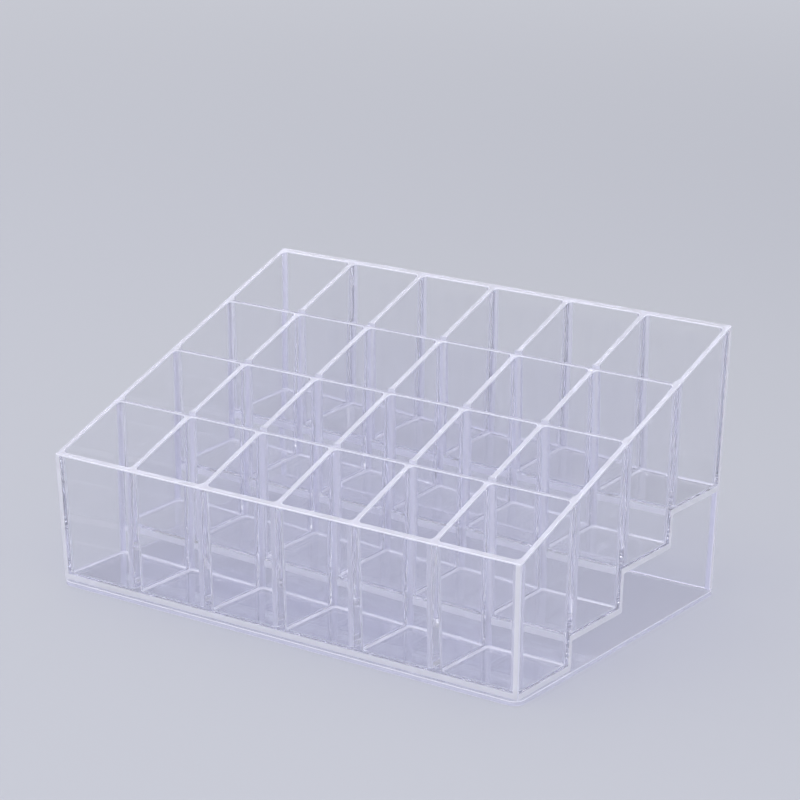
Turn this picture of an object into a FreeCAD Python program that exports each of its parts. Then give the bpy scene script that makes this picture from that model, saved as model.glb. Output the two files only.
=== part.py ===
import FreeCAD, Part
import os

import Sketcher
from FreeCAD import Placement, Rotation, Vector

# Clear stepped makeup organizer: 24 open cells in 4 rows of 6, on a bonded base sheet.
#
# X runs along the rows, Y from the low front to the high back, Z up from the table.
# The origin is under the middle of the object, on the face that rests on the table.
#
# Every wall of the moulding is drafted from one sloped rim plane, which falls towards the
# front. So a wall is a plain outline in two views. Its side view (Y, Z) is pushed along X.
# Its front view (X, depth below the rim) is pushed up the slope of the rim, so that the draft
# follows the rim on the tall cells and on the low ones alike. The member is what the two share.
# A cell is what its core leaves: a tapered block with four rounded upright corners, so the
# dividers and end walls flare where they run into the walls across them.

ROWS = 4
CELLS_IN_ROW = 6
UPRIGHT_SHARE = 0.9
OUT_FILES = "parts"

# Driving dimensions in millimetres, and draft angles in degrees
SIZES = [
    ("rim_width", "145", "outside, along the rows, at the rim"),
    ("rim_depth", "97.5", "outside, front to back, at the rim"),
    ("front_height", "34.7", "underside of the moulding to the front rim"),
    ("back_height", "71.6", "underside of the moulding to the back rim"),
    ("wall_thick", "1.5", "every wall at the rim"),
    ("floor_thick", "1.75", "every cell floor"),
    ("cell_pitch", "23.55", "inner wall to inner wall, both ways"),
    ("end_pitch", "24.65", "middle of an end wall to the first divider"),
    ("front_pitch", "24", "middle of the front wall to the first row wall"),
    ("rise_2", "7.75", "underside of the second row's floor above the first's"),
    ("rise_3", "18.1", "underside of the third row's floor"),
    ("rise_4", "27.1", "underside of the back row's floor"),
    ("riser_thick", "1.6", "riser below a row wall"),
    ("front_draft", "2.14", "front wall"),
    ("side_draft", "1.72", "end walls"),
    ("back_draft", "1.03", "back wall"),
    ("row_front_draft", "0.4", "front face of a row wall and its riser"),
    ("row_back_draft", "0.97", "back face of a row wall"),
    ("divider_draft", "0.6", "each face of a divider"),
    ("cell_corner", "1.2", "radius of a cell's four upright corners"),
    ("sheet_thick", "1.3", "base sheet"),
    ("sheet_margin_x", "0.5", "base sheet past the moulding at each end"),
    ("sheet_margin_y", "0.8", "base sheet past the moulding at front and back"),
    ("sheet_corner", "3", "corner radius of the base sheet"),
    ("overrun", "2", "cutting outlines past the rim and the outer walls"),
]

doc = FreeCAD.newDocument("MakeupOrganizer")
sheet = doc.addObject("Spreadsheet::Sheet", "Sizes")
for line, (alias, value, note) in enumerate(SIZES, start=1):
    sheet.set(f"A{line}", alias)
    sheet.set(f"B{line}", value)
    sheet.set(f"C{line}", note)
    sheet.setAlias(f"B{line}", alias)
doc.recompute()

# Heights and lines that the outlines share, as expressions on the sheet
UNDERSIDE = "Sizes.sheet_thick"
RIM_SLOPE = "((Sizes.back_height - Sizes.front_height) / Sizes.rim_depth)"
FRONT_EDGE = "(-Sizes.rim_depth / 2)"
BACK_EDGE = "(Sizes.rim_depth / 2)"


def rim_height(y):
    """Height of the sloped rim plane above the table at a place along Y."""
    return f"({UNDERSIDE} + Sizes.front_height + {RIM_SLOPE} * ({y} - {FRONT_EDGE}))"


class DraftedFace:
    """A wall face in the side view: where it meets the rim, and its lean as it goes down."""

    def __init__(self, rim_y, lean):
        self.rim_y = rim_y
        self.lean = lean

    def at(self, z):
        """Point of the face at height z."""
        return (f"{self.rim_y} + {self.lean} * ({rim_height(self.rim_y)} - ({z}))", z)

    def at_rim(self):
        """Point where the face meets the rim plane."""
        return (self.rim_y, rim_height(self.rim_y))

    def moved_back(self, distance):
        """The same lean, further to the back."""
        return DraftedFace(f"({self.rim_y} + {distance})", self.lean)


def row_wall_edge(number):
    """Place of a row wall's front face at the rim."""
    return f"({FRONT_EDGE} + Sizes.front_pitch + {number - 1} * Sizes.cell_pitch)"


FRONT_OUTSIDE = DraftedFace(FRONT_EDGE, "tan(Sizes.front_draft)")
FRONT_INSIDE = FRONT_OUTSIDE.moved_back("Sizes.wall_thick")
BACK_OUTSIDE = DraftedFace(BACK_EDGE, "-tan(Sizes.back_draft)")
BACK_INSIDE = BACK_OUTSIDE.moved_back("-Sizes.wall_thick")
WALL_FRONTS = {
    number: DraftedFace(row_wall_edge(number), "-tan(Sizes.row_front_draft)")
    for number in range(1, ROWS)
}
WALL_BACKS = {
    number: DraftedFace(f"({row_wall_edge(number)} + Sizes.wall_thick)", "tan(Sizes.row_back_draft)")
    for number in range(1, ROWS)
}
RISER_BACKS = {number: face.moved_back("Sizes.riser_thick") for number, face in WALL_FRONTS.items()}

# The faces that close each row's cells at the front and at the back
ROW_STARTS = {1: FRONT_INSIDE, **{number + 1: face for number, face in WALL_BACKS.items()}}
ROW_ENDS = {**WALL_FRONTS, ROWS: BACK_INSIDE}


def floor_underside(row):
    """Height of the lower face of a row's floor."""
    return UNDERSIDE if row == 1 else f"({UNDERSIDE} + Sizes.rise_{row})"


def floor_top(row):
    """Height of the upper face of a row's floor."""
    return f"({floor_underside(row)} + Sizes.floor_thick)"


def add_outline(sketch, points):
    """Draw a closed outline whose corners are bound to the sheet."""
    values = [Vector(float(sketch.evalExpression(u)), float(sketch.evalExpression(v)), 0) for u, v in points]
    count = len(points)
    for index in range(count):
        sketch.addGeometry(Part.LineSegment(values[index], values[(index + 1) % count]), False)
    for index in range(count):
        sketch.addConstraint(Sketcher.Constraint("Coincident", index, 2, (index + 1) % count, 1))
    for index, (u, v) in enumerate(points):
        across = sketch.addConstraint(Sketcher.Constraint("DistanceX", -1, 1, index, 1, values[index].x))
        sketch.setExpression(f"Constraints[{across}]", u)
        up = sketch.addConstraint(Sketcher.Constraint("DistanceY", -1, 1, index, 1, values[index].y))
        sketch.setExpression(f"Constraints[{up}]", v)


def side_view(name, points):
    """Solid with a side outline (Y, Z), pushed both ways along X past the end walls."""
    sketch = doc.addObject("Sketcher::SketchObject", f"{name}SideOutline")
    sketch.Placement = Placement(Vector(), Rotation(Vector(1, 1, 1), 120))
    add_outline(sketch, points)
    solid = doc.addObject("Part::Extrusion", f"{name}SideView")
    solid.Base = sketch
    solid.DirMode = "Normal"
    solid.Symmetric = True
    solid.Solid = True
    solid.setExpression("LengthFwd", "Sizes.rim_width + 2 * Sizes.overrun")
    return solid


def front_view(name, left_x, left_lean, right_x, right_lean):
    """Solid between two leaning faces of the front view, pushed up the slope of the rim.

    left_x and right_x are the faces' places at the rim. A lean is the change of X for each
    millimetre below the rim, so the faces keep their draft at the same depth in every row.
    """
    start = f"({FRONT_EDGE} - Sizes.overrun)"
    above = "Sizes.overrun"
    below = "(Sizes.back_height + Sizes.overrun)"
    rim_here = rim_height(start)
    points = [
        (f"{left_x} - {left_lean} * {above}", f"{rim_here} + {above}"),
        (f"{left_x} + {left_lean} * {below}", f"{rim_here} - {below}"),
        (f"{right_x} + {right_lean} * {below}", f"{rim_here} - {below}"),
        (f"{right_x} - {right_lean} * {above}", f"{rim_here} + {above}"),
    ]
    sketch = doc.addObject("Sketcher::SketchObject", f"{name}FrontOutline")
    sketch.Placement = Placement(Vector(), Rotation(Vector(1, 0, 0), 90))
    sketch.setExpression("Placement.Base.y", start)
    add_outline(sketch, points)
    solid = doc.addObject("Part::Extrusion", f"{name}FrontView")
    solid.Base = sketch
    solid.DirMode = "Custom"
    solid.Dir = Vector(0, 1, 0)
    solid.setExpression("Dir.z", RIM_SLOPE)
    solid.setExpression("LengthFwd", f"(Sizes.rim_depth + 2 * Sizes.overrun) * sqrt(1 + {RIM_SLOPE}^2)")
    solid.Solid = True
    return solid


def shared(name, side, front):
    """What a side view and a front view share."""
    common = doc.addObject("Part::Common", name)
    common.Base = side
    common.Tool = front
    return common


members = []


def keep_member(member, name):
    """Name an object as one member of the moulding."""
    member.Label = name
    members.append(member)


def add_member(name, side, front):
    """One member with flat faces, straight from its two views."""
    keep_member(shared(name, side, front), name)


# Front views, each used by every member that has that outline
HALF_WIDTH = "(Sizes.rim_width / 2)"
HALF_INSIDE = "(Sizes.rim_width / 2 - Sizes.wall_thick)"
SIDE_LEAN = "tan(Sizes.side_draft)"
whole_width = front_view("WholeWidth", f"-{HALF_WIDTH}", SIDE_LEAN, HALF_WIDTH, f"-{SIDE_LEAN}")
between_ends = front_view("BetweenEnds", f"-{HALF_INSIDE}", SIDE_LEAN, HALF_INSIDE, f"-{SIDE_LEAN}")
left_end = front_view("LeftEnd", f"-{HALF_WIDTH}", SIDE_LEAN, f"-{HALF_INSIDE}", SIDE_LEAN)
right_end = front_view("RightEnd", HALF_INSIDE, f"-{SIDE_LEAN}", HALF_WIDTH, f"-{SIDE_LEAN}")

DIVIDER_LEAN = "tan(Sizes.divider_draft)"


def divider_face(number, side):
    """Left (-1) or right (1) face of a divider: its place at the rim."""
    first = f"(-{HALF_WIDTH} + Sizes.wall_thick / 2 + Sizes.end_pitch)"
    return f"({first} + {number - 1} * Sizes.cell_pitch + {side} * Sizes.wall_thick / 2)"


def cell_faces(column):
    """Left and right faces of a column of cells: each one's place at the rim, and its lean."""
    left = (f"(-{HALF_INSIDE})", SIDE_LEAN)
    right = (HALF_INSIDE, f"-{SIDE_LEAN}")
    if column > 1:
        left = (divider_face(column - 1, 1), DIVIDER_LEAN)
    if column < CELLS_IN_ROW:
        right = (divider_face(column, -1), f"-{DIVIDER_LEAN}")
    return left, right


def cell_middle(column):
    """Middle of a column of cells at the rim."""
    (left, _), (right, _) = cell_faces(column)
    return f"(({left} + {right}) / 2)"


cell_views = []
for column in range(1, CELLS_IN_ROW + 1):
    left_face, right_face = cell_faces(column)
    cell_views.append(front_view(f"Cell{column}", *left_face, *right_face))
all_cells = doc.addObject("Part::Compound", "CellsFrontView")
all_cells.Links = cell_views

# A divider is cut from the bay between the middles of its two cells, and an end wall
# from its own slab and the half cell beside it
divider_bays = {
    number: front_view(f"Bay{number}", cell_middle(number), "0", cell_middle(number + 1), "0")
    for number in range(1, CELLS_IN_ROW)
}
end_bays = {
    "Left": front_view("LeftBay", f"-{HALF_WIDTH}", SIDE_LEAN, cell_middle(1), "0"),
    "Right": front_view("RightBay", cell_middle(CELLS_IN_ROW), "0", HALF_WIDTH, f"-{SIDE_LEAN}"),
}

# Front and back walls, over the whole width and down to the base sheet
front_wall_side = side_view("FrontWall", [
    FRONT_OUTSIDE.at(UNDERSIDE),
    FRONT_INSIDE.at(UNDERSIDE),
    FRONT_INSIDE.at_rim(),
    FRONT_OUTSIDE.at_rim(),
])
add_member("front_wall", front_wall_side, whole_width)

back_wall_side = side_view("BackWall", [
    BACK_INSIDE.at(UNDERSIDE),
    BACK_OUTSIDE.at(UNDERSIDE),
    BACK_OUTSIDE.at_rim(),
    BACK_INSIDE.at_rim(),
])
add_member("back_wall", back_wall_side, whole_width)

# Row walls: a flat top level with the rim at their front face, and a riser under the next floor
for row in range(1, ROWS):
    wall_top = rim_height(row_wall_edge(row))
    wall_side = side_view(f"RowWall{row}", [
        WALL_FRONTS[row].at(floor_underside(row)),
        RISER_BACKS[row].at(floor_underside(row)),
        RISER_BACKS[row].at(floor_underside(row + 1)),
        WALL_BACKS[row].at(floor_underside(row + 1)),
        WALL_BACKS[row].at(wall_top),
        WALL_FRONTS[row].at(wall_top),
    ])
    add_member(f"row_wall_{row}", wall_side, between_ends)

# Floors between the walls
for row in range(1, ROWS + 1):
    floor_side = side_view(f"Floor{row}", [
        ROW_STARTS[row].at(floor_underside(row)),
        ROW_ENDS[row].at(floor_underside(row)),
        ROW_ENDS[row].at(floor_top(row)),
        ROW_STARTS[row].at(floor_top(row)),
    ])
    add_member(f"row_{row}_floor", floor_side, between_ends)


def upright_edges(shape):
    """Numbers of the edges that climb nearly as far as they are long."""
    found = []
    for number, edge in enumerate(shape.Edges, start=1):
        start, end = (vertex.Point for vertex in edge.Vertexes)
        if abs(end.z - start.z) > UPRIGHT_SHARE * edge.Length:
            found.append(number)
    return found


# Each row's six cores, past the rim at the top, with their upright corners rounded
corner_radius = float(sheet.cell_corner)
row_sides = {}
row_cores = {}
for row in range(1, ROWS + 1):
    start, end = ROW_STARTS[row], ROW_ENDS[row]
    row_sides[row] = side_view(f"Row{row}", [
        start.at(floor_top(row)),
        end.at(floor_top(row)),
        end.at_rim(),
        start.at_rim(),
    ])
    core_side = side_view(f"Cores{row}", [
        start.at(floor_top(row)),
        end.at(floor_top(row)),
        end.at(f"({rim_height(end.rim_y)} + Sizes.overrun)"),
        start.at(f"({rim_height(start.rim_y)} + Sizes.overrun)"),
    ])
    square_cores = shared(f"SquareCores{row}", core_side, all_cells)
    doc.recompute()
    corner_edges = upright_edges(square_cores.Shape)
    if len(corner_edges) != 4 * CELLS_IN_ROW:
        raise RuntimeError(f"row {row} has {len(corner_edges)} upright core edges")
    cores = doc.addObject("Part::Fillet", f"RoundedCores{row}")
    cores.Base = square_cores
    cores.Edges = [(number, corner_radius, corner_radius) for number in corner_edges]
    row_cores[row] = cores

# Dividers: what the cores on both sides leave of a bay
for row in range(1, ROWS + 1):
    for number, bay in divider_bays.items():
        divider = doc.addObject("Part::Cut", f"Divider{row}{number}")
        divider.Base = shared(f"DividerBay{row}{number}", row_sides[row], bay)
        divider.Tool = row_cores[row]
        keep_member(divider, f"row_{row}_divider_{number}")

# End walls: a slab whose lower edge climbs with the risers and floors, and the flares
# that the end cores leave on it
end_outline = [FRONT_INSIDE.at_rim(), FRONT_INSIDE.at(UNDERSIDE)]
for row in range(1, ROWS):
    end_outline.append(RISER_BACKS[row].at(floor_underside(row)))
    end_outline.append(RISER_BACKS[row].at(floor_underside(row + 1)))
end_outline.append(BACK_INSIDE.at(floor_underside(ROWS)))
end_outline.append(BACK_INSIDE.at_rim())
end_wall_side = side_view("EndWall", end_outline)
all_cores = doc.addObject("Part::Compound", "AllCores")
all_cores.Links = list(row_cores.values())
for side, slab_view in (("Left", left_end), ("Right", right_end)):
    slab = shared(f"{side}Slab", end_wall_side, slab_view)
    half_cells = [shared(f"{side}Half{row}", row_sides[row], end_bays[side]) for row in row_sides]
    blank = doc.addObject("Part::MultiFuse", f"{side}EndBlank")
    blank.Shapes = [slab, *half_cells]
    blank.Refine = True
    end_wall = doc.addObject("Part::Cut", f"{side}EndWall")
    end_wall.Base = blank
    end_wall.Tool = all_cores
    keep_member(end_wall, f"{side.lower()}_end_wall")


def sheet_corner(face, margin, side):
    """Corner of the base sheet, past the moulding's own lower corner."""
    y = f"({face.at(UNDERSIDE)[0]} + {margin})"
    half_width = f"({HALF_WIDTH} - {SIDE_LEAN} * ({rim_height(y)} - {UNDERSIDE}) + Sizes.sheet_margin_x)"
    return (f"{side} * {half_width}", y)


def origin_plane(body, role):
    """A body's own origin plane."""
    return next(feature for feature in body.Origin.OriginFeatures if feature.Role == role)


# Base sheet: cut to the moulding's lower outline with a margin, its corners rounded
base_sheet = doc.addObject("PartDesign::Body", "base_sheet")
base_sheet.Label = "base_sheet"
sheet_outline = base_sheet.newObject("Sketcher::SketchObject", "SheetOutline")
sheet_outline.AttachmentSupport = [(origin_plane(base_sheet, "XY_Plane"), "")]
sheet_outline.MapMode = "FlatFace"
add_outline(sheet_outline, [
    sheet_corner(FRONT_OUTSIDE, "-Sizes.sheet_margin_y", "-1"),
    sheet_corner(FRONT_OUTSIDE, "-Sizes.sheet_margin_y", "1"),
    sheet_corner(BACK_OUTSIDE, "Sizes.sheet_margin_y", "1"),
    sheet_corner(BACK_OUTSIDE, "Sizes.sheet_margin_y", "-1"),
])
sheet_plate = base_sheet.newObject("PartDesign::Pad", "SheetPlate")
sheet_plate.Profile = sheet_outline
sheet_plate.setExpression("Length", "Sizes.sheet_thick")
doc.recompute()
sheet_rounding = base_sheet.newObject("PartDesign::Fillet", "SheetRounding")
sheet_rounding.Base = (sheet_plate, [f"Edge{number}" for number in upright_edges(sheet_plate.Shape)])
sheet_rounding.setExpression("Radius", "Sizes.sheet_corner")
doc.recompute()

# Every object is sound, and every sub-part is one valid solid, before anything is written
for item in doc.Objects:
    if "Invalid" in item.State or "Error" in item.State:
        raise RuntimeError(f"{item.Name} did not build: {item.State}")
for node in members + [base_sheet]:
    shape = node.Shape
    if shape.isNull() or not shape.isValid() or len(shape.Solids) != 1:
        raise RuntimeError(f"{node.Label} is not one valid solid")

os.makedirs(OUT_FILES, exist_ok=True)
for node in members + [base_sheet]:
    node.Shape.exportStep(f"{OUT_FILES}/{node.Label}.step")

moulding_cm3 = sum(member.Shape.Volume for member in members) / 1000
sheet_cm3 = base_sheet.Shape.Volume / 1000
print(f"{len(members) + 1} nodes, moulding {moulding_cm3:.1f} cm3, sheet {sheet_cm3:.1f} cm3")
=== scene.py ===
# Clear stepped makeup organizer: one moulding with 24 open cells, on a bonded base sheet.

import logging
import math
from dataclasses import dataclass
from enum import Enum
from typing import Any, Callable

import bmesh
import bpy
from mathutils import Euler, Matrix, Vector

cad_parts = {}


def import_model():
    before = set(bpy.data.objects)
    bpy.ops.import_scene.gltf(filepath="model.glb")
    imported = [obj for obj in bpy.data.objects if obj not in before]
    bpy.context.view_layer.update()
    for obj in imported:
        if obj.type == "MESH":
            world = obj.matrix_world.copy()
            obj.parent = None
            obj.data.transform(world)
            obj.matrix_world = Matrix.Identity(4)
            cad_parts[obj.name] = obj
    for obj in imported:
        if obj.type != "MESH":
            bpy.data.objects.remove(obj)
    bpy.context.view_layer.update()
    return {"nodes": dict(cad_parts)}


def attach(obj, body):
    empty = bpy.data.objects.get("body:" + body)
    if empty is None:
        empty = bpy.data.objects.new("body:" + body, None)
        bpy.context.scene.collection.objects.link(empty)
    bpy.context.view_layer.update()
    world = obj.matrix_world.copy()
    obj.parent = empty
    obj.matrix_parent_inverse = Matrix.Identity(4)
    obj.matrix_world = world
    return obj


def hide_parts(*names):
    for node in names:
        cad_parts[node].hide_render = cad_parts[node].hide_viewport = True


log = logging.getLogger("makeup_organizer")

MM = 0.001
BODY = "root"

# Sockets of a node that mixes two colours.
FACTOR, FIRST_COLOUR, SECOND_COLOUR, MIXED = 0, 6, 7, 2

# An edge is upright when this share of its length is height.
UPRIGHT_SHARE = 0.9

# A point nearer than this to a dividing plane is on it, in millimetres.
ON_PLANE = 1e-4

Point = tuple[float, float, float]
Outline = list[tuple[float, float]]


def linear(hex_colour: str) -> tuple[float, float, float, float]:
    """Turn an sRGB hex colour into linear light.

    Args:
        hex_colour: Six hex digits, with or without a leading hash.

    Returns:
        Linear red, green and blue, and full opacity.
    """
    digits = hex_colour.lstrip("#")
    shares = [int(digits[i:i + 2], 16) / 255 for i in (0, 2, 4)]
    curved = [s / 12.92 if s <= 0.04045 else ((s + 0.055) / 1.055) ** 2.4 for s in shares]
    return (*curved, 1.0)


def add(
    tree: bpy.types.NodeTree,
    kind: str,
    values: dict[str | int, Any] | None = None,
    links: dict[str | int, bpy.types.NodeSocket] | None = None,
    **settings: Any,
) -> bpy.types.Node:
    """Add a node with its settings and links.

    Args:
        tree: The tree to add to.
        kind: Type of the node.
        values: Values for inputs, by name or number.
        links: Outputs of other nodes, by the name or number of the input they feed.
        **settings: Properties of the node itself.

    Returns:
        The new node.
    """
    node = tree.nodes.new(kind)
    for name, value in settings.items():
        setattr(node, name, value)
    for key, value in (values or {}).items():
        node.inputs[key].default_value = value
    for key, output in (links or {}).items():
        tree.links.new(output, node.inputs[key])
    return node


class Surface(Enum):
    """Kinds of surface. The numbers are material slots, and a finish lists them in this order."""

    FACE = 0  # broad faces of walls, floors and the sheet
    RIM = 1  # tops and lower ends of the walls, and the sheet's sides
    EDGE = 2  # roundings of the rims, of the outside and of the sheet
    CORNER = 3  # upright rounded corners of the cells
    BAND = 4  # strips where the light guided through floors and walls comes out
    FOOT = 5  # roundings where a cell's floor meets its walls


@dataclass(frozen=True)
class DraftedFace:
    """A wall face seen from the side: its Y at the rim, and its change for each millimetre down."""

    rim_y: float
    lean: float


@dataclass(frozen=True)
class OrganizerSizes:
    """Driving sizes in millimetres, with draft angles in degrees.

    The rises are how far each row's floor lies over the front row's. The riser is the
    thickness of the upright wall between the floors of two rows.
    """

    rows: int = 4
    columns: int = 6
    rim_width: float = 145.0
    rim_depth: float = 97.5
    front_height: float = 34.7
    back_height: float = 71.6
    wall: float = 1.5
    floor: float = 1.75
    pitch: float = 23.55
    end_pitch: float = 24.65
    front_pitch: float = 24.0
    rises: tuple[float, ...] = (0.0, 7.75, 18.1, 27.1)
    riser: float = 1.6
    sheet: float = 1.3
    sheet_margin_x: float = 0.5
    sheet_margin_y: float = 0.8
    front_draft: float = 2.14
    side_draft: float = 1.72
    back_draft: float = 1.03
    row_front_draft: float = 0.4
    row_back_draft: float = 0.97
    divider_draft: float = 0.6

    @staticmethod
    def lean(draft: float) -> float:
        """Sideways millimetres for each millimetre down, at a draft angle."""
        return math.tan(math.radians(draft))

    def rim(self, y: float) -> float:
        """Height of the sloped rim plane at a place along Y."""
        slope = (self.back_height - self.front_height) / self.rim_depth
        return self.sheet + self.front_height + slope * (y + self.rim_depth / 2)

    def place(self, face: DraftedFace, z: float) -> float:
        """Y of a drafted face at a height."""
        return face.rim_y + face.lean * (self.rim(face.rim_y) - z)

    def front_face(self, inset: float = 0.0) -> DraftedFace:
        """The front wall's outer face, or a parallel one behind it."""
        return DraftedFace(-self.rim_depth / 2 + inset, self.lean(self.front_draft))

    def back_face(self, inset: float = 0.0) -> DraftedFace:
        """The back wall's outer face, or a parallel one in front of it."""
        return DraftedFace(self.rim_depth / 2 - inset, -self.lean(self.back_draft))

    def end_x(self, y: float, z: float, inset: float = 0.0) -> float:
        """Distance from the middle to an end wall's outer face, or to a parallel one inside it."""
        return self.rim_width / 2 - inset - self.lean(self.side_draft) * (self.rim(y) - z)

    def row_wall_front(self, number: int, inset: float = 0.0) -> DraftedFace:
        """Front face of a row wall, or a parallel one behind it."""
        edge = -self.rim_depth / 2 + self.front_pitch + (number - 1) * self.pitch
        return DraftedFace(edge + inset, -self.lean(self.row_front_draft))

    def row_wall_back(self, number: int) -> DraftedFace:
        """Back face of a row wall."""
        edge = self.row_wall_front(number).rim_y + self.wall
        return DraftedFace(edge, self.lean(self.row_back_draft))

    def row_faces(self, row: int) -> tuple[DraftedFace, DraftedFace]:
        """Find the faces that close a row's cells.

        Args:
            row: Number of the row, from 1 at the front.

        Returns:
            The face in front of the cells and the face behind them.
        """
        start = self.front_face(self.wall) if row == 1 else self.row_wall_back(row - 1)
        end = self.back_face(self.wall) if row == self.rows else self.row_wall_front(row)
        return start, end

    def floor_underside(self, row: int) -> float:
        """Height of the lower face of a row's floor."""
        return self.sheet + self.rises[row - 1]

    def divider_middle(self, number: int) -> float:
        """X of a divider's middle."""
        first = -self.rim_width / 2 + self.wall / 2 + self.end_pitch
        return first + (number - 1) * self.pitch

    def cell_sides(self, column: int) -> tuple[tuple[float, float], tuple[float, float]]:
        """Find the left and right faces of a column of cells.

        Args:
            column: Number of the column, from 1 at the left.

        Returns:
            For each face its X at the rim and its change of X for each millimetre down.
        """
        inside = self.rim_width / 2 - self.wall
        side, divider = self.lean(self.side_draft), self.lean(self.divider_draft)
        left = (-inside, side)
        right = (inside, -side)
        if column > 1:
            left = (self.divider_middle(column - 1) + self.wall / 2, divider)
        if column < self.columns:
            right = (self.divider_middle(column) - self.wall / 2, -divider)
        return left, right


@dataclass(frozen=True)
class ClearPolystyrene:
    """Clear general-purpose polystyrene.

    Its high index gives bright outlines and strong reflections. A small part of the light
    scatters at the surface, as a lavender-white haze. Most of the haze, at rims, edges and other
    marked strips, is a painted highlight: milky white put in for light the walls guide out there.

    The waves are those that moulding or extrusion leaves in a glossy face, and make its
    reflections swim a little. Real scuffs are hairlines under 0.1 mm wide, too fine to show,
    so they are drawn coarser, as soft patches of scuff_mm that dull the gloss here and there.
    """

    name: str
    tint: str = "#FBFBFD"
    clarity: float = 0.985  # share of the light that passes without scattering
    roughness: float = 0.02
    scuffed: float = 0.06  # roughness inside a scuffed patch
    ior: float = 1.59
    wave_mm: float = 16.0
    wave_depth_mm: float = 0.005
    scuff_mm: float = 1.6
    scuff_range: tuple[float, float] = (0.52, 0.78)  # noise at which a patch starts and is full
    shadow_pass: str = "#FAFAFD"  # colour of light that falls through onto something else

    def material(self) -> bpy.types.Material:
        """Build the material.

        Returns:
            The new material.
        """
        made = bpy.data.materials.new(self.name)
        made.use_nodes = True
        tree = made.node_tree
        tree.nodes.clear()
        place = add(tree, "ShaderNodeTexCoord").outputs["Object"]
        wave = add(
            tree, "ShaderNodeTexNoise",
            {"Scale": 1 / (self.wave_mm * MM), "Detail": 1.0},
            {"Vector": place},
        )
        bump = add(
            tree, "ShaderNodeBump",
            {"Strength": 1.0, "Distance": self.wave_depth_mm * MM},
            {"Height": wave.outputs["Fac"]},
        )
        scuff = add(
            tree, "ShaderNodeTexNoise",
            {"Scale": 1 / (self.scuff_mm * MM), "Detail": 5.0, "Roughness": 0.65},
            {"Vector": place},
        )
        clean_below, scuffed_above = self.scuff_range
        gloss = add(
            tree, "ShaderNodeMapRange",
            {
                "From Min": clean_below, "From Max": scuffed_above,
                "To Min": self.roughness, "To Max": self.scuffed,
            },
            {"Value": scuff.outputs["Fac"]},
        )
        clear = add(
            tree, "ShaderNodeBsdfPrincipled",
            {"Base Color": linear(self.tint), "IOR": self.ior, "Transmission Weight": self.clarity},
            {"Normal": bump.outputs["Normal"], "Roughness": gloss.outputs["Result"]},
        )
        # Light on its way to another surface passes straight through, so shadows stay pale.
        path = add(tree, "ShaderNodeLightPath")
        lit_through = add(tree, "ShaderNodeBsdfTransparent", {"Color": linear(self.shadow_pass)})
        straight = add(
            tree, "ShaderNodeMath", {},
            {0: path.outputs["Is Shadow Ray"], 1: path.outputs["Is Diffuse Ray"]},
            operation="MAXIMUM",
        )
        both = add(
            tree, "ShaderNodeMixShader", {},
            {0: straight.outputs[0], 1: clear.outputs["BSDF"], 2: lit_through.outputs["BSDF"]},
        )
        add(tree, "ShaderNodeOutputMaterial", {}, {"Surface": both.outputs["Shader"]})
        return made


Finish = dict[Surface, ClearPolystyrene]


def moulded_finish() -> Finish:
    """Choose the finishes of the moulding.

    Returns:
        A finish for each kind of surface.
    """
    return {
        # Polished by the mould: a clean view through, with sharp reflections.
        Surface.FACE: ClearPolystyrene("moulded_polystyrene_face"),
        # Where the walls end, guided light comes out: a bright, slightly milky outline, which is
        # a painted highlight over a slightly rough finish.
        Surface.RIM: ClearPolystyrene(
            "moulded_polystyrene_rim_with_painted_highlight", tint="#EAEAFA", clarity=0.5,
            roughness=0.14, scuffed=0.25, wave_depth_mm=0.003,
        ),
        # Rounded edges, a little rough: a thin white line along each edge, a painted highlight.
        Surface.EDGE: ClearPolystyrene(
            "moulded_polystyrene_edge_painted_highlight", tint="#F2F2FF", clarity=0.2,
            roughness=0.2, scuffed=0.3, wave_depth_mm=0.0,
        ),
        # Slightly dull from the mould. The soft upright bars at the wall crossings are a painted
        # highlight.
        Surface.CORNER: ClearPolystyrene(
            "moulded_polystyrene_corner_with_painted_highlight", tint="#F2F2FE", clarity=0.66,
            roughness=0.08, scuffed=0.14, wave_depth_mm=0.0,
        ),
        # The ends of floors and walls, seen on an outer face: pale, milky strips, a painted
        # highlight where guided light comes out.
        Surface.BAND: ClearPolystyrene(
            "moulded_polystyrene_band_painted_highlight", tint="#F8F8FF", clarity=0.26,
            roughness=0.12, scuffed=0.2, wave_depth_mm=0.003,
        ),
        # A soft pale line round each cell's floor, a painted highlight in place of dark broken
        # glints.
        Surface.FOOT: ClearPolystyrene(
            "moulded_polystyrene_foot_painted_highlight", tint="#F5F5FF", clarity=0.4,
            roughness=0.14, scuffed=0.22, wave_depth_mm=0.0,
        ),
    }


def sheet_finish() -> Finish:
    """Choose the finishes of the base sheet.

    Returns:
        A finish for each kind of surface that the sheet has.
    """
    return {
        # Glossy as extruded: longer, deeper waves than those of a moulded face.
        Surface.FACE: ClearPolystyrene(
            "extruded_polystyrene_face", wave_mm=24.0, wave_depth_mm=0.006,
        ),
        # Cut and left slightly matt: a soft bright side, its brightness a painted highlight.
        Surface.RIM: ClearPolystyrene(
            "cut_polystyrene_side_with_painted_highlight", tint="#ECECFA", clarity=0.5,
            roughness=0.12, scuffed=0.2, wave_depth_mm=0.0,
        ),
        # The cut's edges: a fine white line above and below the side, a painted highlight.
        Surface.EDGE: ClearPolystyrene(
            "cut_polystyrene_edge_painted_highlight", tint="#F5F5FF", clarity=0.12,
            roughness=0.2, scuffed=0.3, wave_depth_mm=0.0,
        ),
    }


def shaped_box(corner: Callable[[int, int, int], Point]) -> bmesh.types.BMesh:
    """Make a closed box and put each of its eight corners in place.

    Args:
        corner: Function from the signs of X, Y and Z to a point in millimetres.

    Returns:
        The box, in millimetres.
    """
    box = bmesh.new()
    bmesh.ops.create_cube(box, size=2.0)
    for vert in box.verts:
        vert.co = Vector(corner(*(round(c) for c in vert.co)))
    bmesh.ops.recalc_face_normals(box, faces=box.faces)
    return box


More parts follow.
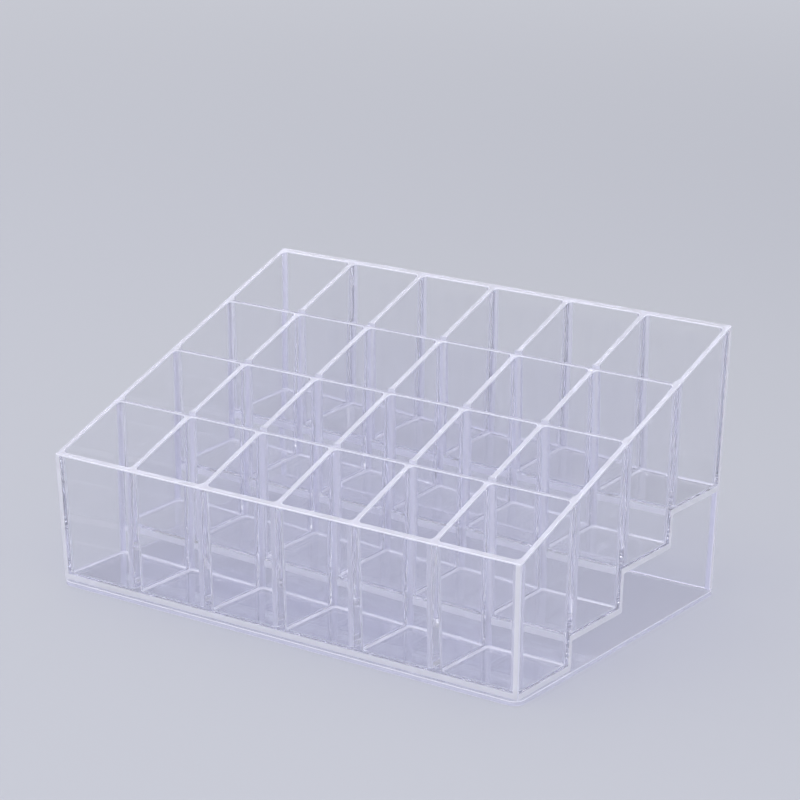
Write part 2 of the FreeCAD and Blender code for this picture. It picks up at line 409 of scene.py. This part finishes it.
def round_edges(
    mesh: bmesh.types.BMesh,
    edges: list[bmesh.types.BMEdge],
    radius: float,
    segments: int,
    kind: Surface,
) -> None:
    """Round some edges of a mesh.

    Args:
        mesh: The mesh to change.
        edges: The edges to round.
        radius: Radius in millimetres.
        segments: Number of facets across the rounding.
        kind: Surface that the rounding becomes.
    """
    made = bmesh.ops.bevel(
        mesh, geom=edges, offset=radius, offset_type="OFFSET", segments=segments,
        profile=0.5, affect="EDGES", material=-1,
    )
    for face in made["faces"]:
        face.material_index = kind.value


def upright(edge: bmesh.types.BMEdge) -> bool:
    """Say whether an edge runs mostly up and down."""
    run = edge.verts[1].co - edge.verts[0].co
    return abs(run.z) > UPRIGHT_SHARE * run.length


def quarter(segments: int) -> list[float]:
    """Angles that divide a quarter turn into equal segments, from 0 to a right angle."""
    return [step * math.pi / 2 / segments for step in range(segments + 1)]


def loft(rings: list[list[Point]], kinds: list[Surface]) -> bmesh.types.BMesh:
    """Skin a closed solid over rings of points.

    Args:
        rings: Rings with the same number of points, all starting at the same place.
        kinds: Surface between each ring and the next.

    Returns:
        The solid, with a flat face on its first and last rings.
    """
    solid = bmesh.new()
    place = solid.verts.layers.int.new("place")
    bmesh.ops.create_circle(solid, cap_ends=True, segments=len(rings[0]), radius=1.0)
    for index, vert in enumerate(solid.verts):
        vert[place] = index
        vert.co = Vector(rings[0][index])
    cap = list(solid.faces)
    for step, (ring, kind) in enumerate(zip(rings[1:], kinds)):
        grown = bmesh.ops.extrude_face_region(solid, geom=cap)["geom"]
        if step:
            bmesh.ops.delete(solid, geom=cap, context="FACES_ONLY")
        cap = [g for g in grown if isinstance(g, bmesh.types.BMFace)]
        moved = [g for g in grown if isinstance(g, bmesh.types.BMVert)]
        for vert in moved:
            vert.co = Vector(ring[vert[place]])
        for face in {face for vert in moved for face in vert.link_faces} - set(cap):
            face.material_index = kind.value
    solid.verts.layers.int.remove(place)
    bmesh.ops.recalc_face_normals(solid, faces=solid.faces)
    return solid


def grown_outline(outline: Outline, distance: float) -> Outline:
    """Move every side of a closed outline outwards.

    Args:
        outline: Corners in order, clockwise.
        distance: How far each side moves, to the left of its direction.

    Returns:
        The corners of the larger outline.
    """
    moved = []
    for index, (u, v) in enumerate(outline):
        before = Vector((u, v)) - Vector(outline[index - 1])
        after = Vector(outline[(index + 1) % len(outline)]) - Vector((u, v))
        sides = [Vector((-run.y, run.x)).normalized() for run in (before, after)]
        shift = (sides[0] + sides[1]) * distance / (1 + sides[0].dot(sides[1]))
        moved.append((u + shift.x, v + shift.y))
    return moved


def split(
    mesh: bmesh.types.BMesh, faces: list[bmesh.types.BMFace], points: list[Point],
) -> list[bmesh.types.BMFace]:
    """Divide some faces of a mesh along a plane. The surface keeps its form.

    Args:
        mesh: The mesh to change.
        faces: The faces to divide.
        points: Three points of the plane.

    Returns:
        The faces, with the new ones.
    """
    first, second, third = (Vector(point) for point in points)
    edges = {edge for face in faces for edge in face.edges}
    verts = {vert for face in faces for vert in face.verts}
    made = bmesh.ops.bisect_plane(
        mesh, geom=[*faces, *edges, *verts], dist=ON_PLANE,
        plane_co=first, plane_no=(second - first).cross(third - first).normalized(),
    )
    return [g for g in made["geom"] if isinstance(g, bmesh.types.BMFace)]


def as_object(mesh: bmesh.types.BMesh, name: str, finish: Finish) -> bpy.types.Object:
    """Put a mesh into an object of the scene.

    Args:
        mesh: The mesh, which is freed.
        name: Name of the new object.
        finish: A finish for each material slot.

    Returns:
        The new object, at the origin.
    """
    data = bpy.data.meshes.new(name)
    mesh.to_mesh(data)
    mesh.free()
    for surface_finish in finish.values():
        data.materials.append(surface_finish.material())
    made = bpy.data.objects.new(name, data)
    bpy.context.scene.collection.objects.link(made)
    return made


def shade_smooth(target: bpy.types.Object, sharpest: float = 40.0) -> None:
    """Shade a piece smoothly, with its flat faces kept flat by a weight for large faces.

    Args:
        target: The piece.
        sharpest: Angle in degrees above which an edge stays sharp.
    """
    target.data.shade_smooth()
    target.data.set_sharp_from_angle(angle=math.radians(sharpest))
    even = target.modifiers.new("flat_faces_first", "WEIGHTED_NORMAL")
    even.mode, even.weight, even.keep_sharp = "FACE_AREA", 100, True


def cut(target: bpy.types.Object, tool_mesh: bmesh.types.BMesh) -> None:
    """Take a closed form away from a closed target. Cut faces keep the form's material slots.

    Args:
        target: The object to cut.
        tool_mesh: The form to take away, which is freed.
    """
    data = bpy.data.meshes.new("tool")
    tool_mesh.to_mesh(data)
    tool_mesh.free()
    for material in target.data.materials:
        data.materials.append(material)
    tool = bpy.data.objects.new("tool", data)
    bpy.context.scene.collection.objects.link(tool)
    modifier = target.modifiers.new("cut", "BOOLEAN")
    modifier.operation = "DIFFERENCE"
    modifier.solver = "EXACT"
    modifier.object = tool
    graph = bpy.context.evaluated_depsgraph_get()
    result = bpy.data.meshes.new_from_object(target.evaluated_get(graph))
    target.modifiers.clear()
    old = target.data
    target.data = result
    bpy.data.objects.remove(tool)
    bpy.data.meshes.remove(data)
    bpy.data.meshes.remove(old)


@dataclass
class Moulding:
    """The one-piece moulding: a drafted block less 24 tapered cores and the space under the steps.

    Sizes are in millimetres and angles in degrees. The forms that cut the block stand out past
    it, and their flares end a hair past its faces, so that no two faces lie on each other.
    """

    sizes: OrganizerSizes
    finish: Finish
    name: str = "moulding"
    corner_radius: float = 1.2
    corner_segments: int = 10
    floor_radius: float = 0.5
    floor_segments: int = 4
    edge_radius: float = 0.25
    edge_segments: int = 4
    ledge: float = 0.3  # how far the form over a row wall reaches behind the wall
    hair: float = 0.01
    past: float = 3.0
    square_on: float = 3.0  # a core's face is flat wall within this angle of an axis
    facing: float = 0.99  # least share of an outer face's normal along the axis it faces
    end_zone: float = 5.0  # an end wall's outer face is within this of the rim's end

    def block(self) -> bmesh.types.BMesh:
        """Make the outside form: drafted walls under the sloped rim, with rounded edges.

        Returns:
            The closed block, in millimetres.
        """
        s = self.sizes

        def corner(x: int, y: int, z: int) -> Point:
            """Place a corner of the block.

            Args:
                x: Sign of X.
                y: Sign of Y.
                z: Sign of Z, 1 at the rim.

            Returns:
                The corner, in millimetres.
            """
            face = s.front_face() if y < 0 else s.back_face()
            if z > 0:
                return (x * s.rim_width / 2, face.rim_y, s.rim(face.rim_y))
            foot = s.place(face, s.sheet)
            return (x * s.end_x(foot, s.sheet), foot, s.sheet)

        box = shaped_box(corner)
        round_edges(box, list(box.edges), self.edge_radius, self.edge_segments, Surface.EDGE)
        top = max(box.faces, key=lambda face: face.normal.z * face.calc_area())
        top.material_index = Surface.RIM.value
        return box

    def cell_outline(
        self, row: int, column: int, height: Callable[[float], float], grow: float,
    ) -> list[Point]:
        """Make one ring of a cell: its walls' outline at a level, with rounded corners.

        Args:
            row: Row of the cell, from 1 at the front.
            column: Column of the cell, from 1 at the left.
            height: Height of the level at a place along Y.
            grow: Millimetres by which the ring stands out past the walls' faces.

        Returns:
            The points of the ring, from the front left corner round by the front.
        """
        s = self.sizes
        radius = self.corner_radius + grow
        points = []
        for x_sign, y_sign, start in ((-1, -1, 180), (1, -1, 270), (1, 1, 0), (-1, 1, 90)):
            face = s.row_faces(row)[(y_sign + 1) // 2]
            rim_x, lean = s.cell_sides(column)[(x_sign + 1) // 2]
            y = s.place(face, height(face.rim_y))
            x = rim_x + lean * (s.rim(y) - height(y))
            centre_x = x - x_sign * self.corner_radius
            centre_y = y - y_sign * self.corner_radius
            for turn in quarter(self.corner_segments):
                angle = math.radians(start) + turn
                point_y = centre_y + radius * math.sin(angle)
                points.append((centre_x + radius * math.cos(angle), point_y, height(point_y)))
        return points

    def core(self, row: int, column: int) -> bmesh.types.BMesh:
        """Make the core that leaves one cell, with a rounded foot and a flare at the rim.

        Args:
            row: Row of the cell, from 1 at the front.
            column: Column of the cell, from 1 at the left.

        Returns:
            The closed core, in millimetres.
        """
        s = self.sizes
        low = s.floor_underside(row) + s.floor
        rings, kinds = [], []
        for angle in quarter(self.floor_segments):
            level = low + self.floor_radius * (1 - math.cos(angle))
            grow = -self.floor_radius * (1 - math.sin(angle))
            rings.append(self.cell_outline(row, column, lambda y, z=level: z, grow))
            kinds.append(Surface.FOOT)
        kinds[-1] = Surface.FACE
        for angle in quarter(self.edge_segments):
            depth = self.edge_radius * (1 - math.sin(angle)) - self.hair
            grow = self.edge_radius * (1 - math.cos(angle))
            rings.append(self.cell_outline(row, column, lambda y, d=depth: s.rim(y) - d, grow))
            kinds.append(Surface.EDGE)
        above = self.cell_outline(row, column, lambda y: s.rim(y) + self.past, self.edge_radius)
        solid = loft([*rings, above], kinds)
        straight = math.cos(math.radians(self.square_on))
        for face in solid.faces:
            if face.material_index == Surface.FACE.value and max(map(abs, face.normal)) <= straight:
                face.material_index = Surface.CORNER.value
        return solid

    def cores(self) -> bmesh.types.BMesh:
        """Make all the cores as one mesh.

        Returns:
            The cores, which stay clear of each other.
        """
        every = bmesh.new()
        for row in range(1, self.sizes.rows + 1):
            for column in range(1, self.sizes.columns + 1):
                held = bpy.data.meshes.new("core")
                piece = self.core(row, column)
                piece.to_mesh(held)
                piece.free()
                every.from_mesh(held)
                bpy.data.meshes.remove(held)
        return every

    def under_steps(self) -> bmesh.types.BMesh:
        """Make the form of the open space under the second, third and back rows.

        Returns:
            The closed form, flared where it leaves the end walls.
        """
        s = self.sizes
        bottom = s.sheet - self.past
        outline: Outline = []
        for row in range(1, s.rows):
            back = s.row_wall_front(row, s.riser)
            low = bottom if row == 1 else s.floor_underside(row)
            high = s.floor_underside(row + 1)
            outline += [(s.place(back, low), low), (s.place(back, high), high)]
        inner = s.back_face(s.wall)
        top = s.floor_underside(s.rows)
        outline += [(s.place(inner, top), top), (s.place(inner, bottom), bottom)]

        def section(side: int, depth: float, grow: float) -> list[Point]:
            """The outline at a depth behind an end wall's outer face, grown on every side."""
            return [(side * s.end_x(y, z, depth), y, z) for y, z in grown_outline(outline, grow)]

        flare = []
        for angle in quarter(self.edge_segments):
            depth = self.edge_radius * (1 - math.sin(angle)) - self.hair
            flare.append((depth, self.edge_radius * (1 - math.cos(angle))))
        rings = [section(-1, -self.past, self.edge_radius)]
        rings += [section(-1, depth, grow) for depth, grow in reversed(flare)]
        rings += [section(side, s.wall, 0.0) for side in (-1, 1)]
        rings += [section(1, depth, grow) for depth, grow in flare]
        rings.append(section(1, -self.past, self.edge_radius))
        ends = [Surface.EDGE] * len(flare)
        return loft(rings, [*ends, Surface.RIM, Surface.FACE, Surface.RIM, *ends])

    def level_top(self, number: int) -> bmesh.types.BMesh:
        """Make the form above a row wall, whose top is level up to its rounded back edge.

        Args:
            number: Number of the row wall, from 1 at the front.

        Returns:
            The closed form, in millimetres.
        """
        s = self.sizes
        front, back = s.row_wall_front(number).rim_y, s.row_wall_back(number).rim_y
        level = s.rim(front)
        high = level + self.past
        outline = [(front - self.past, high), (front - self.past, level)]
        for angle in quarter(self.edge_segments):
            y = back - self.edge_radius * (1 - math.sin(angle))
            outline.append((y, level - self.edge_radius * (1 - math.cos(angle))))
        outline += [(back + self.ledge, outline[-1][1]), (back + self.ledge, high)]
        # The form stops inside the last cells' corners, so the end walls' rims keep their slope.
        reach = s.rim_width / 2 - s.wall - self.corner_radius / 2
        wedge = loft([[(x, y, z) for y, z in outline] for x in (-reach, reach)], [Surface.EDGE])
        top = min(wedge.faces, key=lambda face: face.normal.z * face.calc_area())
        top.material_index = Surface.RIM.value
        return wedge

    def end_band(self, y: float, z: float) -> bool:
        """Say whether a place on an end wall has a floor, a riser or the back wall behind it.

        Args:
            y: Place along Y.
            z: Height.

        Returns:
            True where one of them ends at the end wall.
        """
        s = self.sizes
        if y > s.place(s.back_face(s.wall), z):
            return True
        for row in range(1, s.rows + 1):
            low, top = s.floor_underside(row), s.floor_underside(row) + s.floor
            front = s.front_face() if row == 1 else s.row_wall_front(row - 1)
            back = s.back_face() if row == s.rows else s.row_wall_front(row, s.riser)
            if low < z < top and s.place(front, z) < y < s.place(back, z):
                return True
            if row < s.rows and low < z < s.floor_underside(row + 1) + s.floor:
                if s.place(s.row_wall_front(row), z) < y < s.place(back, z):
                    return True
        return False

    def mark_bands(self, mesh: bmesh.types.BMesh) -> None:
        """Mark the strips where the light guided through a floor or a wall comes out.

        Args:
            mesh: The cut mesh, in millimetres.
        """
        s = self.sizes
        reach = s.rim_width

        def level(z: float) -> list[Point]:
            """Three points of the level plane at a height."""
            return [(0, 0, z), (reach, 0, z), (0, reach, z)]

        def drafted(face: DraftedFace) -> list[Point]:
            """Three points of the plane of a drafted face."""
            low, high = s.place(face, 0), s.place(face, reach)
            return [(0, low, 0), (reach, low, 0), (0, high, reach)]

        def end(sign: int) -> list[Point]:
            """Three points of the plane of an end wall's inner face."""
            corners = ((0, 0), (reach, 0), (0, reach))
            return [(sign * s.end_x(y, z, s.wall), y, z) for y, z in corners]

        def pick(test: Callable[[Vector, Vector], bool]) -> list[bmesh.types.BMFace]:
            """The faces whose normal and middle pass a test."""
            return [f for f in mesh.faces if test(f.normal, f.calc_center_median())]

        def near(face: DraftedFace, middle: Vector) -> bool:
            """Say whether a point lies on a drafted face."""
            return abs(middle.y - s.place(face, middle.z)) < s.wall / 2

        def mark(
            faces: list[bmesh.types.BMFace],
            planes: list[list[Point]],
            lit: Callable[[Vector], bool],
        ) -> None:
            """Divide faces along planes, and mark the parts that guided light reaches.

            Args:
                faces: The faces to divide.
                planes: Three points of each plane.
                lit: Test of a part's middle.
            """
            for plane in planes:
                faces = split(mesh, faces, plane)
            for face in faces:
                if lit(face.calc_center_median()):
                    face.material_index = Surface.BAND.value

        floors = [s.floor_underside(row) for row in range(1, s.rows + 1)]
        walls = [s.row_wall_front(number) for number in range(1, s.rows)]
        crossing = [level(z + s.floor) for z in floors] + [level(z) for z in floors[1:]]
        crossing += [drafted(face) for face in (s.back_face(s.wall), *walls)]
        zone = s.rim_width / 2 - self.end_zone
        for sign in (-1, 1):
            ends = pick(lambda n, c: n.x * sign > self.facing and c.x * sign > zone)
            mark(ends, crossing, lambda c: self.end_band(c.y, c.z))
        for outer, sign, low in ((s.front_face(), -1, floors[0]), (s.back_face(), 1, floors[-1])):
            high = low + s.floor
            mark(
                pick(lambda n, c: n.y * sign > self.facing and near(outer, c)),
                [level(low), level(high), end(-1), end(1)],
                lambda c: low < c.z < high or abs(c.x) > s.end_x(c.y, c.z, s.wall),
            )
        for wall, low in zip(walls, floors[1:]):
            high = low + s.floor
            risers = pick(lambda n, c: -n.y > self.facing and near(wall, c))
            mark(risers, [level(low), level(high)], lambda c: low < c.z < high)

    def build(self) -> bpy.types.Object:
        """Cut the block, mark its bands, and turn its mesh into metres.

        Returns:
            The moulding, at the origin.
        """
        made = as_object(self.block(), self.name, self.finish)
        cut(made, self.cores())
        cut(made, self.under_steps())
        for number in range(1, self.sizes.rows):
            cut(made, self.level_top(number))
        mesh = bmesh.new()
        mesh.from_mesh(made.data)
        bmesh.ops.remove_doubles(mesh, verts=mesh.verts, dist=self.hair / 4)
        self.mark_bands(mesh)
        bmesh.ops.scale(mesh, vec=(MM, MM, MM), verts=mesh.verts)
        open_edges = sum(len(edge.link_faces) != 2 for edge in mesh.edges)
        log.info("%s: %d open edges", self.name, open_edges)
        mesh.to_mesh(made.data)
        mesh.free()
        shade_smooth(made)
        return made


@dataclass
class BaseSheet:
    """The flat sheet bonded under the moulding, a little larger than its lower outline.

    Sizes are in millimetres and angles in degrees. The air gap is between the sheet and the
    moulding, and shows as a thin dark line between their edges.
    """

    sizes: OrganizerSizes
    finish: Finish
    name: str = "base_sheet_panel"
    corner_radius: float = 3.0
    corner_segments: int = 10
    edge_radius: float = 0.15
    edge_segments: int = 2
    air_gap: float = 0.08
    side_slope: float = 0.5  # a side's normal has less than this share along Z
    square_turn: float = 60.0  # an edge round the top or underside turns by more than this

    def build(self) -> bpy.types.Object:
        """Make the sheet, with rounded corners and edges.

        Returns:
            The sheet, at the origin.
        """
        s = self.sizes

        def corner(x: int, y: int, z: int) -> Point:
            """Place a corner of the sheet.

            Args:
                x: Sign of X.
                y: Sign of Y.
                z: Sign of Z, 1 at the top.

            Returns:
                The corner, in millimetres.
            """
            face = s.front_face() if y < 0 else s.back_face()
            edge = s.place(face, s.sheet) + y * s.sheet_margin_y
            half = s.end_x(edge, s.sheet) + s.sheet_margin_x
            return (x * half, edge, s.sheet - self.air_gap if z > 0 else 0.0)

        box = shaped_box(corner)
        uprights = [e for e in box.edges if upright(e)]
        round_edges(box, uprights, self.corner_radius, self.corner_segments, Surface.RIM)
        for face in box.faces:
            if abs(face.normal.z) < self.side_slope:
                face.material_index = Surface.RIM.value
        turn = math.radians(self.square_turn)
        around = [e for e in box.edges if not upright(e) and e.calc_face_angle() > turn]
        round_edges(box, around, self.edge_radius, self.edge_segments, Surface.EDGE)
        bmesh.ops.scale(box, vec=(MM, MM, MM), verts=box.verts)
        made = as_object(box, self.name, self.finish)
        shade_smooth(made)
        return made


@dataclass(frozen=True)
class Lamp:
    """A soft square lamp, in metres and watts."""

    name: str
    place: Point
    size: float
    power: float
    aim: Point = (0.0, 0.0, 0.03)

    def build(self) -> None:
        """Add the lamp."""
        data = bpy.data.lights.new(self.name, "AREA")
        data.size, data.energy = self.size, self.power
        made = bpy.data.objects.new(self.name, data)
        made.location = Vector(self.place)
        aimed = Vector(self.aim) - Vector(self.place)
        made.rotation_euler = aimed.to_track_quat("-Z", "Y").to_euler()
        bpy.context.scene.collection.objects.link(made)


@dataclass(frozen=True)
class Studio:
    """Plain pale floor, soft light and the camera.

    Above the backdrop, what mirror images and clear plastic show changes to each colour in
    turn, between the two sines of elevation that stand with it.
    """

    lens_mm: float = 126.03
    sensor_mm: float = 36.0
    camera_mm: Point = (404.15, -564.60, 254.97)
    camera_turn: Point = (73.6945, -0.3251, 35.4813)
    clip_m: tuple[float, float] = (0.01, 100.0)
    floor_colour: str = "#C4C6CF"
    backdrop_colour: str = "#C8CAD3"
    fade_m: tuple[float, float] = (0.3, 1.3)
    floor_size_m: float = 12.0
    floor_gap_mm: float = 0.06
    room_light: float = 0.45
    room_colour: str = "#DCDDE4"
    shown_above_backdrop: tuple[tuple[str, tuple[float, float]], ...] = (
        ("#54566C", (0.06, 0.2)),
        ("#F2F2F8", (0.25, 0.5)),
    )
    lamps: tuple[Lamp, ...] = (
        Lamp("key", (-0.6, -1.0, 1.3), size=1.7, power=14.0),
        Lamp("fill", (1.1, -0.45, 1.2), size=1.6, power=14.0),
        Lamp("rims", (-0.8, 0.53, 1.1), size=1.2, power=5.0),
    )

    def camera(self) -> None:
        """Set up the camera."""
        data = bpy.data.cameras.new("camera")
        data.lens, data.sensor_width = self.lens_mm, self.sensor_mm
        data.clip_start, data.clip_end = self.clip_m
        made = bpy.data.objects.new("camera", data)
        made.location = Vector(self.camera_mm) * MM
        made.rotation_euler = Euler([math.radians(a) for a in self.camera_turn])
        bpy.context.scene.collection.objects.link(made)
        bpy.context.scene.camera = made

    def floor(self) -> None:
        """Lay the floor just under the base sheet. Far from the object it fades out."""
        mesh = bmesh.new()
        bmesh.ops.create_grid(mesh, x_segments=1, y_segments=1, size=self.floor_size_m / 2)
        bmesh.ops.translate(mesh, vec=(0, 0, -self.floor_gap_mm * MM), verts=mesh.verts)
        made = as_object(mesh, "floor", {})
        made.data.materials.append(self.paper())

    def paper(self) -> bpy.types.Material:
        """Build the floor's material: matt paper, an even pale ground with soft shadows.

        Returns:
            The material, which far from the object is as bright as the backdrop.
        """
        paper = bpy.data.materials.new("matt_backdrop_paper")
        paper.use_nodes = True
        tree = paper.node_tree
        tree.nodes.clear()
        lit = add(
            tree, "ShaderNodeBsdfPrincipled",
            {"Base Color": linear(self.floor_colour), "Roughness": 0.9},
        )
        far = add(
            tree, "ShaderNodeEmission",
            {"Color": linear(self.backdrop_colour), "Strength": 1.0},
        )
        place = add(tree, "ShaderNodeTexCoord").outputs["Object"]
        away = add(tree, "ShaderNodeVectorMath", {}, {0: place}, operation="LENGTH")
        fade = add(
            tree, "ShaderNodeMapRange",
            {"From Min": self.fade_m[0], "From Max": self.fade_m[1]},
            {"Value": away.outputs["Value"]},
            interpolation_type="SMOOTHSTEP",
        )
        share = add(
            tree, "ShaderNodeMath", {},
            {0: fade.outputs["Result"], 1: self.shown(tree)},
            operation="MULTIPLY",
        )
        both = add(
            tree, "ShaderNodeMixShader", {},
            {0: share.outputs[0], 1: lit.outputs["BSDF"], 2: far.outputs["Emission"]},
        )
        add(tree, "ShaderNodeOutputMaterial", {}, {"Surface": both.outputs["Shader"]})
        return paper

    @staticmethod
    def shown(tree: bpy.types.NodeTree) -> bpy.types.NodeSocket:
        """Find where the camera, a mirror image or clear plastic shows the surroundings.

        Args:
            tree: The tree to add the nodes to.

        Returns:
            A share that is 1 there, and 0 for light that falls on the object.
        """
        path = add(tree, "ShaderNodeLightPath")
        share = path.outputs["Is Camera Ray"]
        for name in ("Is Glossy Ray", "Is Transmission Ray"):
            links = {0: share, 1: path.outputs[name]}
            share = add(tree, "ShaderNodeMath", {}, links, operation="MAXIMUM").outputs[0]
        before_matt = add(
            tree, "ShaderNodeMath", {1: 0.5}, {0: path.outputs["Diffuse Depth"]},
            operation="LESS_THAN",
        )
        links = {0: share, 1: before_matt.outputs[0]}
        return add(tree, "ShaderNodeMath", {}, links, operation="MULTIPLY").outputs[0]

    def room(self) -> None:
        """Make the pale room: dim as a light, and a soft gradient where something shows it."""
        world = bpy.data.worlds.new("pale_room")
        world.use_nodes = True
        tree = world.node_tree
        tree.nodes.clear()
        direction = add(tree, "ShaderNodeTexCoord").outputs["Generated"]
        up = add(tree, "ShaderNodeSeparateXYZ", {}, {0: direction}).outputs["Z"]
        below = None
        for colour, (low, high) in self.shown_above_backdrop:
            climb = add(
                tree, "ShaderNodeMapRange", {"From Min": low, "From Max": high}, {"Value": up},
            )
            # The first change starts from the backdrop, and each other from the one below it.
            links = {FACTOR: climb.outputs["Result"]}
            if below:
                links[FIRST_COLOUR] = below
            change = add(
                tree, "ShaderNodeMix",
                {FIRST_COLOUR: linear(self.backdrop_colour), SECOND_COLOUR: linear(colour)},
                links, data_type="RGBA",
            )
            below = change.outputs[MIXED]
        camera = add(tree, "ShaderNodeLightPath").outputs["Is Camera Ray"]
        seen = add(
            tree, "ShaderNodeMix",
            {SECOND_COLOUR: linear(self.backdrop_colour)}, {FACTOR: camera, FIRST_COLOUR: below},
            data_type="RGBA",
        )
        dim = add(
            tree, "ShaderNodeBackground",
            {"Color": linear(self.room_colour), "Strength": self.room_light},
        )
        bright = add(
            tree, "ShaderNodeBackground", {"Strength": 1.0}, {"Color": seen.outputs[MIXED]},
        )
        both = add(
            tree, "ShaderNodeMixShader", {},
            {0: self.shown(tree), 1: dim.outputs[0], 2: bright.outputs[0]},
        )
        add(tree, "ShaderNodeOutputWorld", {}, {"Surface": both.outputs[0]})
        bpy.context.scene.world = world

    def build(self) -> None:
        """Set up everything around the object, and paths long enough for many clear walls."""
        self.camera()
        self.floor()
        self.room()
        for lamp in self.lamps:
            lamp.build()
        scene = bpy.context.scene
        scene.view_settings.view_transform = "Standard"
        scene.cycles.max_bounces = 96
        scene.cycles.transmission_bounces = 64
        scene.cycles.glossy_bounces = 64
        scene.cycles.transparent_max_bounces = 64


def main() -> None:
    """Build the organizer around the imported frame."""
    logging.basicConfig(level=logging.INFO, format="%(name)s: %(message)s")
    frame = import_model()
    Studio().build()
    sizes = OrganizerSizes()
    moulding = Moulding(sizes, moulded_finish()).build()
    panel = BaseSheet(sizes, sheet_finish()).build()
    members = sorted(name for name in frame["nodes"] if name != "base_sheet")
    for piece, nodes, slot in (
        (moulding, members, "clear_moulding"),
        (panel, ["base_sheet"], "clear_sheet"),
    ):
        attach(piece, BODY)
        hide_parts(*nodes)
        faces = len(piece.data.polygons)
        log.info("%s: %d faces, stands for %d nodes", piece.name, faces, len(nodes))


if __name__ == "__main__":
    main()
